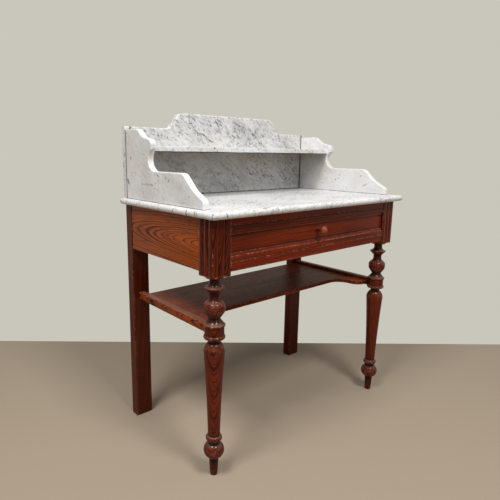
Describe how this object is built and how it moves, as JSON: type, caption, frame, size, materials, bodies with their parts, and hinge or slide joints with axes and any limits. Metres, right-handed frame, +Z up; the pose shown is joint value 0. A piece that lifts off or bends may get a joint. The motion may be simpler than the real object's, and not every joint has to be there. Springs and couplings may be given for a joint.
{
  "type": "washstand",
  "caption": "Wooden washstand with a marble top and gallery, a small marble shelf, a drawer, turned front legs and a lower shelf between side rails.",
  "frame": {"origin": "on the floor, under the middle of the marble top", "axes": "+X to the right seen from the front, +Y to the wall, +Z up; millimetres in the source, metres in the packed files"},
  "size_m": [0.9, 0.5, 1.069],
  "materials": {
    "marble": "honed, worn",
    "varnished_pine": "old gloss varnish",
    "raw_pine": "bare, darkened with age",
    "iron": "dull"
  },
  "bodies": {
    "frame": {"marble_top": "marble", "marble_back": "marble", "marble_side_left": "marble", "marble_side_right": "marble", "marble_shelf": "marble", "gallery_pins": "iron", "front_leg_left": "varnished_pine", "front_leg_right": "varnished_pine", "rear_leg_left": "varnished_pine", "rear_leg_right": "varnished_pine", "side_apron_left": "varnished_pine", "side_apron_right": "varnished_pine", "back_apron": "raw_pine", "front_top_rail": "varnished_pine", "front_bottom_rail": "varnished_pine", "drawer_runner_left": "raw_pine", "drawer_runner_right": "raw_pine", "drawer_guide_left": "raw_pine", "drawer_guide_right": "raw_pine", "drawer_kicker_left": "raw_pine", "drawer_kicker_right": "raw_pine", "guide_screws": "iron", "drawer_stops": "raw_pine", "glue_blocks": "raw_pine", "lower_shelf": "varnished_pine", "shelf_rail_left": "varnished_pine", "shelf_rail_right": "varnished_pine"},
    "drawer": {"drawer_front": "varnished_pine", "drawer_side_left": "raw_pine", "drawer_side_right": "raw_pine", "drawer_back": "raw_pine", "drawer_bottom": "raw_pine", "drawer_bottom_nails": "iron", "drawer_knob": "varnished_pine"}
  },
  "joints": [
    {"name": "drawer_slide", "type": "slide", "parent": "frame", "child": "drawer", "axis": [0, -1, 0], "range_m": [0, 0.3]}
  ]
}
